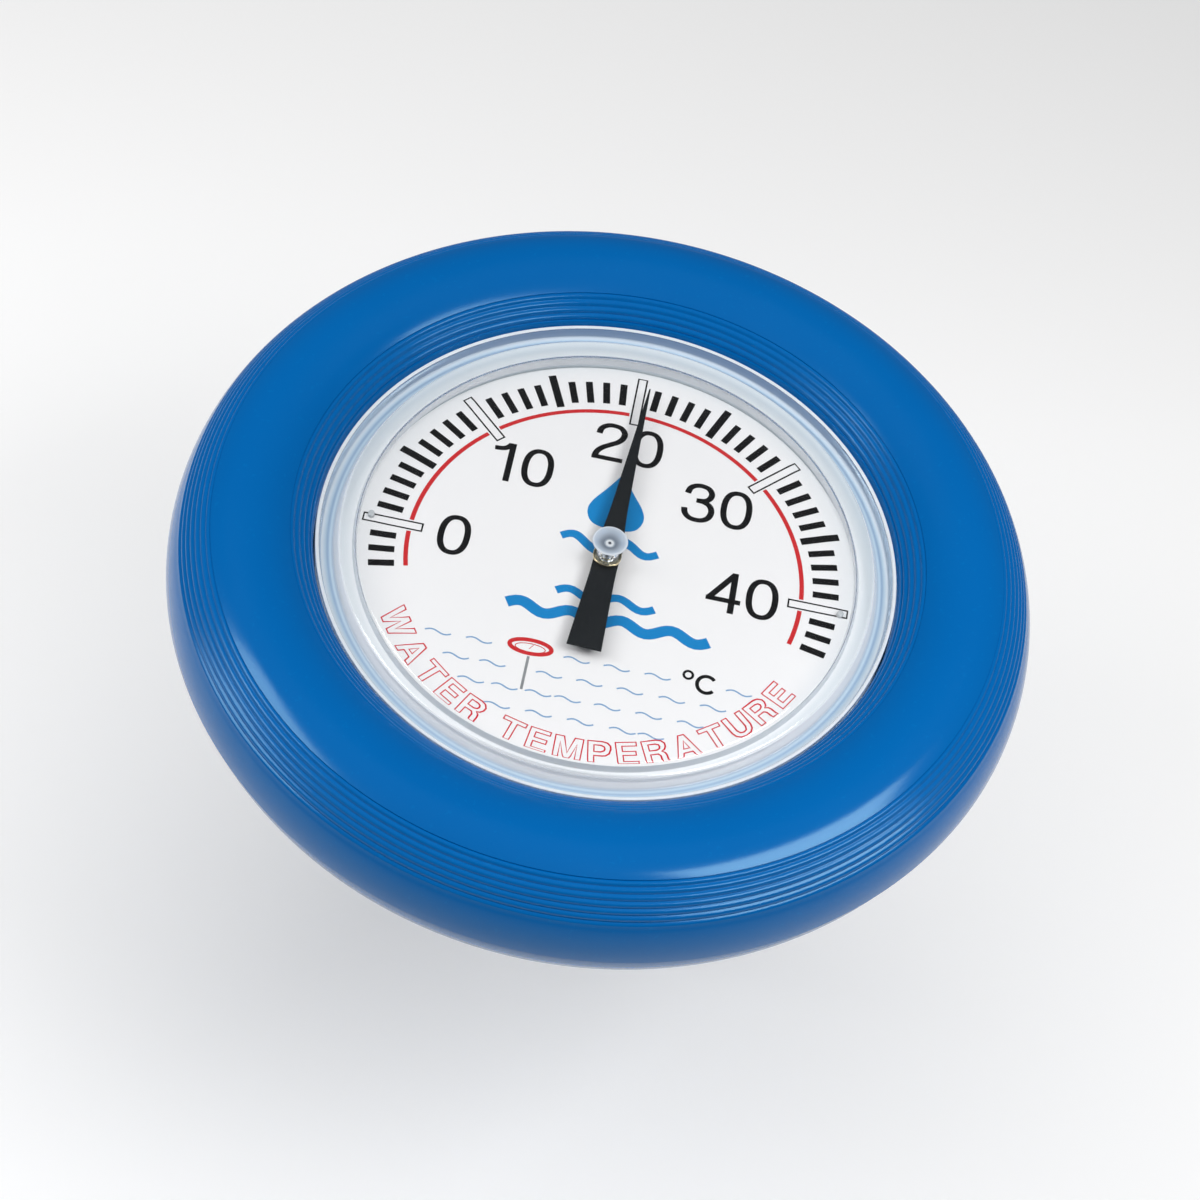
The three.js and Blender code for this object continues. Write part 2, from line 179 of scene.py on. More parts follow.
def ink_patch(points):
    """A printed patch: a filled outline of (x, y) points with the thickness of the ink."""
    patch = draw("patch", [(x, y, PRINT_Z - INK / 2) for x, y in points])
    bpy.ops.mesh.select_all(action="SELECT")
    bpy.ops.mesh.edge_face_add()
    bpy.ops.mesh.extrude_region_move(TRANSFORM_OT_translate={"value": (0, 0, INK)})
    close_mesh()
    return patch


def joined(name, parts):
    """Joins separate meshes into one piece of that name."""
    bpy.ops.object.select_all(action="DESELECT")
    for part in parts:
        part.select_set(True)
    bpy.context.view_layer.objects.active = parts[0]
    bpy.ops.object.join()
    piece = bpy.context.object
    piece.name = name
    piece.data.name = name
    return piece


def copied(source, place):
    """A copy with its own mesh, moved by a matrix."""
    piece = source.copy()
    piece.data = source.data.copy()
    piece.data.transform(place)
    bpy.context.scene.collection.objects.link(piece)
    return piece


def cut_with(piece, tool, operation="DIFFERENCE"):
    """Applies a boolean to a piece and throws the tool away."""
    bpy.ops.object.select_all(action="DESELECT")
    piece.select_set(True)
    bpy.context.view_layer.objects.active = piece
    change = piece.modifiers.new("cut", "BOOLEAN")
    change.operation = operation
    change.solver = "EXACT"
    change.object = tool
    bpy.ops.object.modifier_apply(modifier=change.name)
    bpy.data.objects.remove(tool)


def softened(piece, width, segments=2, limit=40):
    """Bevels the sharp edges of a piece and smooths it."""
    bpy.ops.object.select_all(action="DESELECT")
    piece.select_set(True)
    bpy.context.view_layer.objects.active = piece
    bevel = piece.modifiers.new("soft edges", "BEVEL")
    bevel.width = width
    bevel.segments = segments
    bevel.limit_method = "ANGLE"
    bevel.angle_limit = math.radians(limit)
    bpy.ops.object.modifier_apply(modifier=bevel.name)
    smooth = 30
    bpy.ops.object.shade_smooth_by_angle(angle=math.radians(smooth))


def finished(piece, body, material, stands_for=()):
    """Gives a piece its material and body, and hides the nodes that it stands for."""
    piece.data.materials.clear()
    piece.data.materials.append(material)
    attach(piece, body)
    if stands_for:
        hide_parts(*stands_for)
    return piece


# ---------------------------------------------------------------- shared shader groups


def new_group(name, inputs, outputs):
    """A shader node group with named float or colour sockets."""
    group = bpy.data.node_groups.new(name, "ShaderNodeTree")
    for socket, kind, value in inputs:
        made = group.interface.new_socket(socket, in_out="INPUT", socket_type=kind)
        made.default_value = value
    for socket, kind in outputs:
        group.interface.new_socket(socket, in_out="OUTPUT", socket_type=kind)
    start = group.nodes.new("NodeGroupInput")
    end = group.nodes.new("NodeGroupOutput")
    return group, start, end


def math_node(tree, operation, first, second):
    node = tree.nodes.new("ShaderNodeMath")
    node.operation = operation
    for socket, value in zip(node.inputs, (first, second)):
        if isinstance(value, bpy.types.NodeSocket):
            tree.links.new(value, socket)
        else:
            socket.default_value = value
    return node.outputs[0]


def noise_node(tree, scale, detail=3.0):
    """Noise on Object coordinates. scale is a number or a socket."""
    place = tree.nodes.new("ShaderNodeTexCoord")
    noise = tree.nodes.new("ShaderNodeTexNoise")
    noise.inputs["Detail"].default_value = detail
    tree.links.new(place.outputs["Object"], noise.inputs["Vector"])
    if isinstance(scale, bpy.types.NodeSocket):
        tree.links.new(scale, noise.inputs["Scale"])
    else:
        noise.inputs["Scale"].default_value = scale
    return noise.outputs["Fac"]


MIX_A, MIX_B, MIX_RESULT = 6, 7, 2  # a Mix node's colour sockets


def colour_mix(tree, factor, first, second):
    """Mixes two colour sockets. factor is a number or a socket."""
    mix = tree.nodes.new("ShaderNodeMix")
    mix.data_type = "RGBA"
    if isinstance(factor, bpy.types.NodeSocket):
        tree.links.new(factor, mix.inputs["Factor"])
    else:
        mix.inputs["Factor"].default_value = factor
    tree.links.new(first, mix.inputs[MIX_A])
    tree.links.new(second, mix.inputs[MIX_B])
    return mix.outputs[MIX_RESULT]


def surface_grain_group():
    """Fine moulded or drawn grain: a height for the bump and a roughness that wanders."""
    group, start, end = new_group(
        "surface_grain",
        [
            ("Grain Scale", "NodeSocketFloat", 2500.0),
            ("Patch Scale", "NodeSocketFloat", 60.0),
            ("Roughness", "NodeSocketFloat", 0.3),
            ("Spread", "NodeSocketFloat", 0.1),
        ],
        [("Height", "NodeSocketFloat"), ("Roughness", "NodeSocketFloat")],
    )
    grain = noise_node(group, start.outputs["Grain Scale"], 2.0)
    patches = noise_node(group, start.outputs["Patch Scale"], 4.0)
    centred = math_node(group, "SUBTRACT", patches, 0.5)
    swing = math_node(group, "MULTIPLY", centred, start.outputs["Spread"])
    rough = math_node(group, "ADD", start.outputs["Roughness"], swing)
    group.links.new(grain, end.inputs["Height"])
    group.links.new(rough, end.inputs["Roughness"])
    return group


def colour_drift_group():
    """A base colour that drifts between two shades in soft patches, with fine specks of a third."""
    group, start, end = new_group(
        "colour_drift",
        [
            ("Shade A", "NodeSocketColor", (0.5, 0.5, 0.5, 1)),
            ("Shade B", "NodeSocketColor", (0.5, 0.5, 0.5, 1)),
            ("Speck", "NodeSocketColor", (0.5, 0.5, 0.5, 1)),
            ("Speck Amount", "NodeSocketFloat", 0.0),
            ("Patch Scale", "NodeSocketFloat", 40.0),
        ],
        [("Color", "NodeSocketColor")],
    )
    patches = noise_node(group, start.outputs["Patch Scale"], 3.0)
    drift = colour_mix(group, patches, start.outputs["Shade A"], start.outputs["Shade B"])
    speck_scale, speck_detail, speck_level = 900.0, 6.0, 0.66
    specks = noise_node(group, speck_scale, speck_detail)
    high = math_node(group, "GREATER_THAN", specks, speck_level)
    amount = math_node(group, "MULTIPLY", high, start.outputs["Speck Amount"])
    marked = colour_mix(group, amount, drift, start.outputs["Speck"])
    group.links.new(marked, end.inputs["Color"])
    return group


GRAIN = surface_grain_group()
DRIFT = colour_drift_group()


def new_material(name, shade, shade_b=None, speck=None, speck_amount=0.0, patch=40.0,
                 roughness=0.3, spread=0.1, grain=2500.0, bump=0.02, bump_depth=0.02 * MM, **values):
    """A Principled material whose colour, roughness and bump come from the shared groups."""
    material = bpy.data.materials.new(name)
    material.use_nodes = True
    tree = material.node_tree
    shader = tree.nodes["Principled BSDF"]
    for socket, value in values.items():
        shader.inputs[socket.replace("_", " ")].default_value = value
    drift = tree.nodes.new("ShaderNodeGroup")
    drift.node_tree = DRIFT
    drift.inputs["Shade A"].default_value = (*shade, 1)
    drift.inputs["Shade B"].default_value = (*(shade_b or shade), 1)
    drift.inputs["Speck"].default_value = (*(speck or shade), 1)
    drift.inputs["Speck Amount"].default_value = speck_amount
    drift.inputs["Patch Scale"].default_value = patch
    tree.links.new(drift.outputs["Color"], shader.inputs["Base Color"])
    surface = tree.nodes.new("ShaderNodeGroup")
    surface.node_tree = GRAIN
    surface.inputs["Grain Scale"].default_value = grain
    surface.inputs["Roughness"].default_value = roughness
    surface.inputs["Spread"].default_value = spread
    tree.links.new(surface.outputs["Roughness"], shader.inputs["Roughness"])
    relief = tree.nodes.new("ShaderNodeBump")
    relief.inputs["Strength"].default_value = bump
    relief.inputs["Distance"].default_value = bump_depth
    tree.links.new(surface.outputs["Height"], relief.inputs["Height"])
    tree.links.new(relief.outputs["Normal"], shader.inputs["Normal"])
    return material


def ink(name, shade, shade_b):
    """Printed ink, which hardly shines."""
    return new_material(
        name, shade, shade_b, patch=300.0, roughness=0.45, spread=0.15,
        grain=4000.0, bump=0.1, bump_depth=0.01 * MM, Specular_IOR_Level=0.06,
    )


def let_lamps_through(material, tint):
    """Lets lamplight pass a clear material, so that what lies under it is lit."""
    tree = material.node_tree
    shader = tree.nodes["Principled BSDF"]
    output = tree.nodes["Material Output"]
    path = tree.nodes.new("ShaderNodeLightPath")
    clear = tree.nodes.new("ShaderNodeBsdfTransparent")
    clear.inputs["Color"].default_value = (*tint, 1)
    blend = tree.nodes.new("ShaderNodeMixShader")
    passing = math_node(tree, "MAXIMUM", path.outputs["Is Shadow Ray"], path.outputs["Is Diffuse Ray"])
    tree.links.new(passing, blend.inputs["Fac"])
    tree.links.new(shader.outputs["BSDF"], blend.inputs[1])
    tree.links.new(clear.outputs["BSDF"], blend.inputs[2])
    tree.links.new(blend.outputs["Shader"], output.inputs["Surface"])


def ring_tones(material, reach, tones):
    """Paints light and shade into a material's colour as rings round the Z axis. tones are (share of reach,
    colour).
    """
    tree = material.node_tree
    place = tree.nodes.new("ShaderNodeTexCoord")
    flat = tree.nodes.new("ShaderNodeVectorMath")
    flat.operation = "MULTIPLY"
    flat.inputs[1].default_value = (1 / reach, 1 / reach, 0)
    tree.links.new(place.outputs["Object"], flat.inputs[0])
    out = tree.nodes.new("ShaderNodeVectorMath")
    out.operation = "LENGTH"
    tree.links.new(flat.outputs["Vector"], out.inputs[0])
    ramp = tree.nodes.new("ShaderNodeValToRGB")
    stops = ramp.color_ramp.elements
    stops.remove(stops[1])
    for i, (share, tone) in enumerate(tones):
        stop = stops[0] if i == 0 else stops.new(share)
        stop.position = share
        stop.color = (*tone, 1)
    tree.links.new(out.outputs["Value"], ramp.inputs["Fac"])
    shader = tree.nodes["Principled BSDF"]
    drift = shader.inputs["Base Color"].links[0].from_socket
    share_of_tones = 0.85
    # the painted rings of light and shade laid over the drifting colour
    with_painted_rings = colour_mix(tree, share_of_tones, drift, ramp.outputs["Color"])
    tree.links.new(with_painted_rings, shader.inputs["Base Color"])


blue_plastic = new_material(
    "blue_plastic", (0.0, 0.108, 0.37), (0.0, 0.12, 0.4), speck=(0.0, 0.16, 0.46), speck_amount=0.25,
    patch=25.0, roughness=0.17, spread=0.08, grain=2200.0, bump=0.5, bump_depth=0.014 * MM,
    Specular_IOR_Level=0.44, Specular_Tint=(0.55, 0.92, 1.0, 1.0),
)
clear_plastic = new_material(
    "clear_plastic", (0.97, 0.985, 0.99), (0.96, 0.98, 0.99), patch=30.0, roughness=0.03, spread=0.02,
    grain=900.0, bump=0.02, bump_depth=0.01 * MM, IOR=1.49, Transmission_Weight=1.0,
)
let_lamps_through(clear_plastic, (0.985, 0.985, 0.985))
hazy_plastic_painted_bands = new_material(
    "hazy_plastic_painted_bands", (0.9, 0.93, 0.95), (0.84, 0.88, 0.92), patch=120.0, roughness=0.09, spread=0.1,
    grain=1200.0, bump=0.08, bump_depth=0.03 * MM, IOR=1.49, Transmission_Weight=0.5,
)
let_lamps_through(hazy_plastic_painted_bands, (0.9, 0.92, 0.93))
# Painted light and shade on the cover's rim: pale bands and dark lines stand in for its reflections and
# shade, and blue bands for the blue ring seen through it.
ring_tones(
    hazy_plastic_painted_bands, COVER_R,
    [(0.915, (0.86, 0.88, 0.9)), (0.934, (0.78, 0.81, 0.84)), (0.94, (0.22, 0.33, 0.48)),
     (0.948, (0.5, 0.68, 0.84)), (0.956, (0.16, 0.32, 0.55)), (0.964, (0.5, 0.68, 0.85)),
     (0.976, (0.82, 0.88, 0.92)), (0.984, (0.3, 0.45, 0.64))],
)
milky_plastic_painted_shade = new_material(
    "milky_plastic_painted_shade", (0.72, 0.76, 0.79), (0.64, 0.7, 0.74), patch=150.0, roughness=0.35, spread=0.15,
    grain=1800.0, bump=0.15, bump_depth=0.02 * MM, IOR=1.49, Transmission_Weight=0.25,
)
let_lamps_through(milky_plastic_painted_shade, (0.8, 0.83, 0.85))
# Painted light and shade on the cover's foot and inner wall: pale bands for reflections, grey bands for the
# shade on the inward-facing wall.
ring_tones(
    milky_plastic_painted_shade, COVER_R,
    [(0.85, (0.92, 0.93, 0.94)), (0.875, (0.88, 0.9, 0.92)), (0.888, (0.78, 0.82, 0.85)),
     (0.92, (0.62, 0.68, 0.73)), (0.945, (0.85, 0.88, 0.9)), (0.96, (0.55, 0.62, 0.68))],
)
# A frosted finish on the lip's top, whose whitish colour is also a painted highlight: the thin bright line
# along the lip.
frosted_plastic_painted_highlight = new_material(
    "frosted_plastic_painted_highlight", (0.85, 0.88, 0.91), (0.7, 0.75, 0.8), patch=500.0, roughness=0.45, spread=0.2,
    grain=2500.0, bump=0.3, bump_depth=0.03 * MM, IOR=1.49, Transmission_Weight=0.2,
)
let_lamps_through(frosted_plastic_painted_highlight, (0.8, 0.82, 0.84))
gate_plastic_painted_shading = new_material(
    "gate_plastic_painted_shading", (0.62, 0.68, 0.75), (0.55, 0.62, 0.7), patch=400.0, roughness=0.3, spread=0.15,
    grain=2500.0, bump=0.2, bump_depth=0.02 * MM, IOR=1.49, Transmission_Weight=0.15,
)
let_lamps_through(gate_plastic_painted_shading, (0.8, 0.82, 0.84))
# Painted shading of the gate mark's dimple: a dark dot for the shade in its hole, a bright ring for a
# highlight, then a dark ring and a lighter rim.
ring_tones(
    gate_plastic_painted_shading, 4 * MM,
    [(0.0, (0.01, 0.015, 0.03)), (0.07, (0.015, 0.02, 0.035)), (0.1, (0.62, 0.66, 0.7)),
     (0.18, (0.75, 0.79, 0.82)), (0.24, (0.3, 0.36, 0.43)), (0.32, (0.1, 0.13, 0.18)),
     (0.42, (0.16, 0.2, 0.26)), (0.62, (0.34, 0.41, 0.5)), (0.8, (0.46, 0.53, 0.62)),
     (0.88, (0.72, 0.77, 0.83))],
)
white_plastic = new_material(
    "white_plastic", (0.74, 0.78, 0.8), (0.7, 0.75, 0.78), patch=40.0, roughness=0.4, spread=0.12,
    grain=2200.0, bump=0.15, bump_depth=0.02 * MM,
)
silicone = new_material(
    "clear_silicone", (0.6, 0.68, 0.73), (0.55, 0.64, 0.7), patch=60.0, roughness=0.5, spread=0.15,
    grain=1800.0, bump=0.2, bump_depth=0.02 * MM, Subsurface_Weight=0.1,
)
peg_plastic = new_material(
    "peg_plastic", (0.8, 0.82, 0.83), (0.7, 0.73, 0.75), patch=700.0, roughness=0.25, spread=0.15,
    grain=2500.0, bump=0.15, bump_depth=0.02 * MM, Transmission_Weight=0.3,
)
dial_white = new_material(
    "dial_white", (0.875, 0.86, 0.862), (0.885, 0.87, 0.872), patch=30.0, roughness=0.5, spread=0.1,
    grain=3500.0, bump=0.12, bump_depth=0.015 * MM,
)
black_ink = ink("black_ink", (0.005, 0.005, 0.006), (0.009, 0.009, 0.01))
red_ink = ink("red_ink", (0.56, 0.02, 0.025), (0.6, 0.035, 0.04))
legend_ink = ink("legend_ink", (0.58, 0.0, 0.02), (0.62, 0.008, 0.03))
blue_ink = ink("blue_ink", (0.01, 0.21, 0.52), (0.012, 0.23, 0.55))
pale_blue_ink = ink("pale_blue_ink", (0.2, 0.36, 0.58), (0.23, 0.39, 0.6))
grey_ink = ink("grey_ink", (0.2, 0.21, 0.22), (0.3, 0.31, 0.32))
black_paint = new_material(
    "black_paint", (0.01, 0.012, 0.014), (0.014, 0.016, 0.018), speck=(0.04, 0.04, 0.045),
    speck_amount=0.25, patch=80.0, roughness=0.6, spread=0.2, grain=3000.0, bump=0.3,
    bump_depth=0.02 * MM, Specular_IOR_Level=0.08,
)
brass = new_material(
    "brass", (0.72, 0.5, 0.2), (0.62, 0.41, 0.15), patch=200.0, roughness=0.2, spread=0.2,
    grain=1500.0, bump=0.1, bump_depth=0.01 * MM, Metallic=1.0,
)
hub_metal = new_material(
    "hub_metal", (0.8, 0.68, 0.42), (0.74, 0.6, 0.36), patch=300.0, roughness=0.1, spread=0.06,
    grain=1500.0, bump=0.05, bump_depth=0.01 * MM, Metallic=1.0,
)
steel = new_material(
    "steel", (0.6, 0.61, 0.62), (0.52, 0.53, 0.55), patch=90.0, roughness=0.26, spread=0.25,
    grain=1200.0, bump=0.08, bump_depth=0.01 * MM, Metallic=1.0,
)
bimetal = new_material(
    "bimetal", (0.45, 0.38, 0.3), (0.38, 0.36, 0.34), patch=150.0, roughness=0.35, spread=0.2,
    grain=1500.0, bump=0.1, bump_depth=0.01 * MM, Metallic=1.0,
)
black_rubber = new_material(
    "black_rubber", (0.02, 0.02, 0.022), (0.028, 0.028, 0.03), patch=90.0, roughness=0.7, spread=0.2,
    grain=1500.0, bump=0.3, bump_depth=0.03 * MM,
)


# ---------------------------------------------------------------- the float ring

RIDGE_DEPTH = 0.3 * MM
RIDGES = {"outer": (32.45, 66.75, 7), "bore": (125.1, 145.5, 4)}  # from, to in degrees, and how many


def ridge_cut(angle_deg):
    """How deep the fine grooves cut into the section at an angle."""
    for start, end, count in RIDGES.values():
        if start <= angle_deg <= end:
            phase = math.pi * count * (angle_deg - start) / (end - start)
            return RIDGE_DEPTH * (1 - abs(math.sin(phase)))
    return 0.0


def section_angles():
    """Angles along the upper section, close together where the grooves are."""
    fine_step, coarse_step, margin = 0.55, 2.5, 0.5
    angles = []
    angle = 1.5
    last = math.degrees(math.acos((BORE_R - CREST_R) / INNER_REACH))
    while angle < last:
        angles.append(angle)
        grooved = any(start - margin <= angle <= end + margin for start, end, _ in RIDGES.values())
        angle += fine_step if grooved else coarse_step
    return angles + [last]


def section_point(angle_deg, height, inwards):
    """A point of the oval section, a distance inside its outer face."""
    angle = math.radians(angle_deg)
    outer_reach = OUTER_REACH if height > 0 else LOWER_R - CREST_R
    reach = outer_reach if angle_deg < 90 else INNER_REACH
    normal = Vector((math.cos(angle) / reach, math.sin(angle) / height)).normalized()
    x = CREST_R + reach * math.cos(angle)
    z = height * math.sin(angle)
    return (x - normal.x * inwards, z - normal.y * inwards)


INSIDE_ANGLES = range(140, 4, -8)  # round the hollow's wall, from the bore to the seam


def seam_corner(outer_r, seam, side):
    """The wall's end at the seam and its small chamfer. side is 1 above the seam and -1 below it."""
    across, lean, rise = 0.5 * MM, 0.05 * MM, 0.35 * MM
    return [(outer_r - WALL, seam), (outer_r - across, seam), (outer_r - lean, seam + side * rise)]


def ring_top():
    """The upper shell, open at the seam, with its fine grooves."""
    bore_edge = 0.3 * MM
    outline = seam_corner(RING_R, SEAM_Z, 1)
    outline += [section_point(a, CREST_Z, ridge_cut(a)) for a in section_angles()]
    edge_z = outline[-1][1]
    outline[-1] = (BORE_R, edge_z - bore_edge)
    outline.append((BORE_R, SEAM_Z))
    outline.append((BORE_R + WALL, SEAM_Z))
    outline += [section_point(a, CREST_Z, WALL) for a in INSIDE_ANGLES]
    outline.append(outline[0])
    piece = turned("float_ring_top", outline, steps=RING_STEPS, smooth=40)
    return finished(piece, FLOAT, blue_plastic, ["float_upper_shell"])


def ring_bottom():
    """The lower shell, flat at its foot, with the ledge that carries the tray."""
    ledge_r = 56 * MM
    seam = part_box("float_lower_shell")[1].z
    ledge_top = TRAY_BOTTOM - GAP
    ledge_bottom = ledge_top - WALL
    outline = seam_corner(LOWER_R, seam, -1)
    last = 180 - math.degrees(math.asin(-ledge_bottom / KEEL_DEPTH))
    steps = 60
    for i in range(1, steps + 1):
        r, z = section_point(last * i / steps, -KEEL_DEPTH, 0)
        outline.append((r, max(z, FOOT_Z)))
    outline += [(ledge_r, ledge_bottom), (ledge_r, ledge_top), (BORE_R, ledge_top), (BORE_R, seam)]
    outline.append((BORE_R + WALL, seam))
    for angle in INSIDE_ANGLES:
        r, z = section_point(angle, -KEEL_DEPTH, WALL)
        outline.append((r, max(z, FOOT_Z + WALL)))
    outline.append(outline[0])
    piece = turned("float_ring_bottom", outline, steps=RING_STEPS, smooth=30)
    return finished(piece, FLOAT, blue_plastic, ["float_lower_shell"])


# ---------------------------------------------------------------- cover, gasket and tray

# The cover's profile, as (radius, height) in mm
GATE_MARK = [(0, 9.5), (0.22, 9.5), (0.3, 9.7), (0.75, 9.72), (1.0, 9.6), (1.5, 9.75), (2.9, 10.45),
             (3.3, 10.6), (3.55, 10.58), (3.7, 10.42), (3.9, 10.42)]
COVER_EDGE = [(53.5, 9.36), (54.9, 9.3), (55.5, 8.9), (56.4, 6.4), (59.1, 6.4), (59.4, 8.9), (60.15, 9.0),
              (60.2, 5.4), (58.2, 5.4), (58.2, 4.4), (52.4, 4.4), (52.1, 7.0), (51.2, 7.4)]
PILLAR = [(2.6, 8.45), (2.35, 8.35), (2.2, 8.0), (2.15, 5.9), (1.95, 5.7), (1.1, 5.7), (1.1, 8.0), (0, 8.0)]
COVER_FINISHES = [clear_plastic, hazy_plastic_painted_bands, frosted_plastic_painted_highlight, gate_plastic_painted_shading, milky_plastic_painted_shade]


def shallow_dome(top, drop, inner, span, radii):
    """A dome's points: it falls by drop over the span out from its inner radius."""
    return [(r, top - drop * ((r - inner) / span) ** 2) for r in radii]


def cover_finish(out, height, tilt):
    """The finish of a face of the cover, from its radius and height in mm and its normal's rise."""
    gate_r, wall_r, slope_r, flange_r, lip_r = 3.7, 52, 55.2, 58.3, 59.3
    flange_top, wall_top, window_low = 5.9, 7.2, 9
    if out > lip_r and tilt > 0.5:
        return frosted_plastic_painted_highlight
    if slope_r < out < lip_r and (height > flange_top or out > flange_r):
        return hazy_plastic_painted_bands
    if out > wall_r and height < wall_top:
        return milky_plastic_painted_shade
    if out < gate_r and height > window_low:
        return gate_plastic_painted_shading
    return clear_plastic


def cover():
    """The clear cover, with a frosted lip where it meets the ring, its whiteness a painted highlight, and
    painted bands of light and shade on its rim and gate mark.
    """
    dome = shallow_dome(top=10.42, drop=1.12, inner=3.9, span=50.9, radii=range(8, 54, 6))
    under = shallow_dome(top=8.45, drop=1.06, inner=3.2, span=48, radii=range(46, 4, -6))
    soft_edge = 0.35
    edge = rounded(COVER_EDGE, soft_edge, closed=False)
    profile = in_mm(GATE_MARK + dome + edge + under + PILLAR)
    piece = turned("clear_cover", profile, steps=RING_STEPS, smooth=28)
    finished(piece, FLOAT, clear_plastic, ["lens_cover"])
    for finish in COVER_FINISHES[1:]:
        piece.data.materials.append(finish)
    for face in piece.data.polygons:
        out = math.hypot(face.center.x, face.center.y) / MM
        finish = cover_finish(out, face.center.z / MM, face.normal.z)
        face.material_index = COVER_FINISHES.index(finish)
    return piece


def gasket():
    """The soft ring that the cover's foot squeezes on the tray's seat."""
    low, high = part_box("lens_gasket")
    inner, soft_edge = 55.6 * MM, 0.3 * MM
    section = [(inner, low.z), (high.x, low.z), (high.x, high.z), (inner, high.z)]
    piece = turned("cover_gasket", rounded(section, soft_edge))
    return finished(piece, FLOAT, silicone, ["lens_gasket"])


def tray():
    """The white tray under the dial. Shallow rings stiffen its underside."""
    seat_inner, seat_outer, seat_z, hole = 55.3, 58.5, 2.8, 6.3
    floor_top = DIAL_BOTTOM / MM - GAP / MM
    bottom = TRAY_BOTTOM / MM
    rim = TRAY_TOP / MM
    section = [(hole, floor_top), (seat_inner, floor_top), (seat_inner, seat_z), (seat_outer, seat_z),
               (seat_outer, rim), (TRAY_R / MM, rim), (TRAY_R / MM, bottom)]
    mouth, floor, depth = 1.2, 0.8, 0.5
    for middle in (52, 40, 28, 16):
        section += [(middle + mouth, bottom), (middle + floor, bottom + depth),
                    (middle - floor, bottom + depth), (middle - mouth, bottom)]
    section.append((hole, bottom))
    edge = 0.25
    piece = turned("dial_tray", in_mm(rounded(section, edge)))
    return finished(piece, FLOAT, white_plastic, ["housing_cup"])


# ---------------------------------------------------------------- the dial and its print


def dial():
    """The white disc, with a hole for the shaft."""
    hole, edge = 1.7 * MM, 0.12 * MM
    section = [(hole, DIAL_BOTTOM), (DIAL_R, DIAL_BOTTOM), (DIAL_R, DIAL_TOP), (hole, DIAL_TOP)]
    piece = turned("dial_disc", rounded(section, edge))
    return finished(piece, FLOAT, dial_white, ["dial_plate"])


def peg(side):
    """A peg that locates the dial. side is -1 by the 0 mark and 1 by the 40 mark."""
    node = "dial_peg_left" if side < 0 else "dial_peg_right"
    low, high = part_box(node)
    centre = (low + high) / 2
    radius = (high.x - low.x) / 2
    edge = 0.35 * MM
    section = [(0, low.z), (radius, low.z), (radius, high.z), (0, high.z)]
    piece = turned("locating_" + node[5:], rounded(section, edge, closed=False), steps=40)
    piece.data.transform(Matrix.Translation((centre.x, centre.y, 0)))
    return finished(piece, FLOAT, peg_plastic, [node])


def scale_angle(celsius):
    """The direction of a reading, in radians from +X. The scale runs clockwise."""
    return math.radians(90 - (celsius - MIDDLE_C) * DEGREES_PER_C)


def on_dial(points):
    """Points given as shares of the tick circle's radius, in metres."""
    return [(x * SCALE_R, y * SCALE_R) for x, y in points]


def tick(inner, outer, width):
    """One printed tick along +X."""
    return ink_line(on_dial([(inner, 0), (outer, 0)]), width * SCALE_R)


def scale_ticks():
    """Short ticks at each degree and long ones at each odd five."""
    short = tick(0.935, 1.062, 0.0333)
    long = tick(0.916, 1.112, 0.0366)
    ticks = []
    for celsius in range(COLDEST_C, HOTTEST_C + 1):
        if celsius % 10 == 0:
            continue
        pattern = long if celsius % 5 == 0 else short
        ticks.append(copied(pattern, Matrix.Rotation(scale_angle(celsius), 4, "Z")))
    bpy.data.objects.remove(short)
    bpy.data.objects.remove(long)
    return finished(joined("print_scale_ticks", ticks), FLOAT, black_ink)


def decade_bars():
    """The outlined bars at the tens."""
    inner, outer, half = 0.83, 1.114, 0.0205
    box = [(inner, -half), (outer, -half), (outer, half), (inner, half)]
    line = 0.52 * MM  # the square corners narrow it to about 0.7 of this
    bar = ink_line(on_dial(box), line, closed=True)
    bars = [copied(bar, Matrix.Rotation(scale_angle(c), 4, "Z")) for c in TENS]
    bpy.data.objects.remove(bar)
    return finished(joined("print_decade_bars", bars), FLOAT, black_ink)


def scale_arc():
    """The red arc, broken at each bar."""
    radius, half_gap, overrun, width = 0.885, 0.031, 0.2, 0.0205
    gap = math.degrees(half_gap / radius) / DEGREES_PER_C
    stops = [COLDEST_C - overrun, *TENS, HOTTEST_C + overrun]
    parts = []
    for start, end in zip(stops, stops[1:]):
        first = start + (gap if start in TENS else 0)
        last = end - (gap if end in TENS else 0)
        steps = max(4, round((last - first) * 2))
        run = []
        for i in range(steps + 1):
            angle = scale_angle(first + (last - first) * i / steps)
            run.append((radius * math.cos(angle), radius * math.sin(angle)))
        parts.append(ink_line(on_dial(run), width * SCALE_R))
    return finished(joined("print_scale_arc", parts), FLOAT, red_ink)


def loop(half_width, half_height, power=2.0, steps=40):
    """A closed oval, squarer as power grows."""
    points = []
    for i in range(steps):
        angle = 2 * math.pi * i / steps
        c, s = math.cos(angle), math.sin(angle)
        x = half_width * math.copysign(abs(c) ** (2 / power), c)
        y = half_height * math.copysign(abs(s) ** (2 / power), s)
        points.append((x, y))
    return points


def smooth_run(points, steps=5):
    """A smooth curve through points (Catmull-Rom)."""
    ends = [points[0], *points, points[-1]]
    run = []
    for a, b, c, d in zip(ends, ends[1:], ends[2:], ends[3:]):
        a, b, c, d = Vector(a), Vector(b), Vector(c), Vector(d)
        for k in range(steps):
            t = k / steps
            bend = (2 * a - 5 * b + 4 * c - d) * t**2
            twist = (3 * b - a - 3 * c + d) * t**3
            point = 0.5 * (2 * b + (c - a) * t + bend + twist)
            run.append((point.x, point.y))
    return run + [points[-1]]


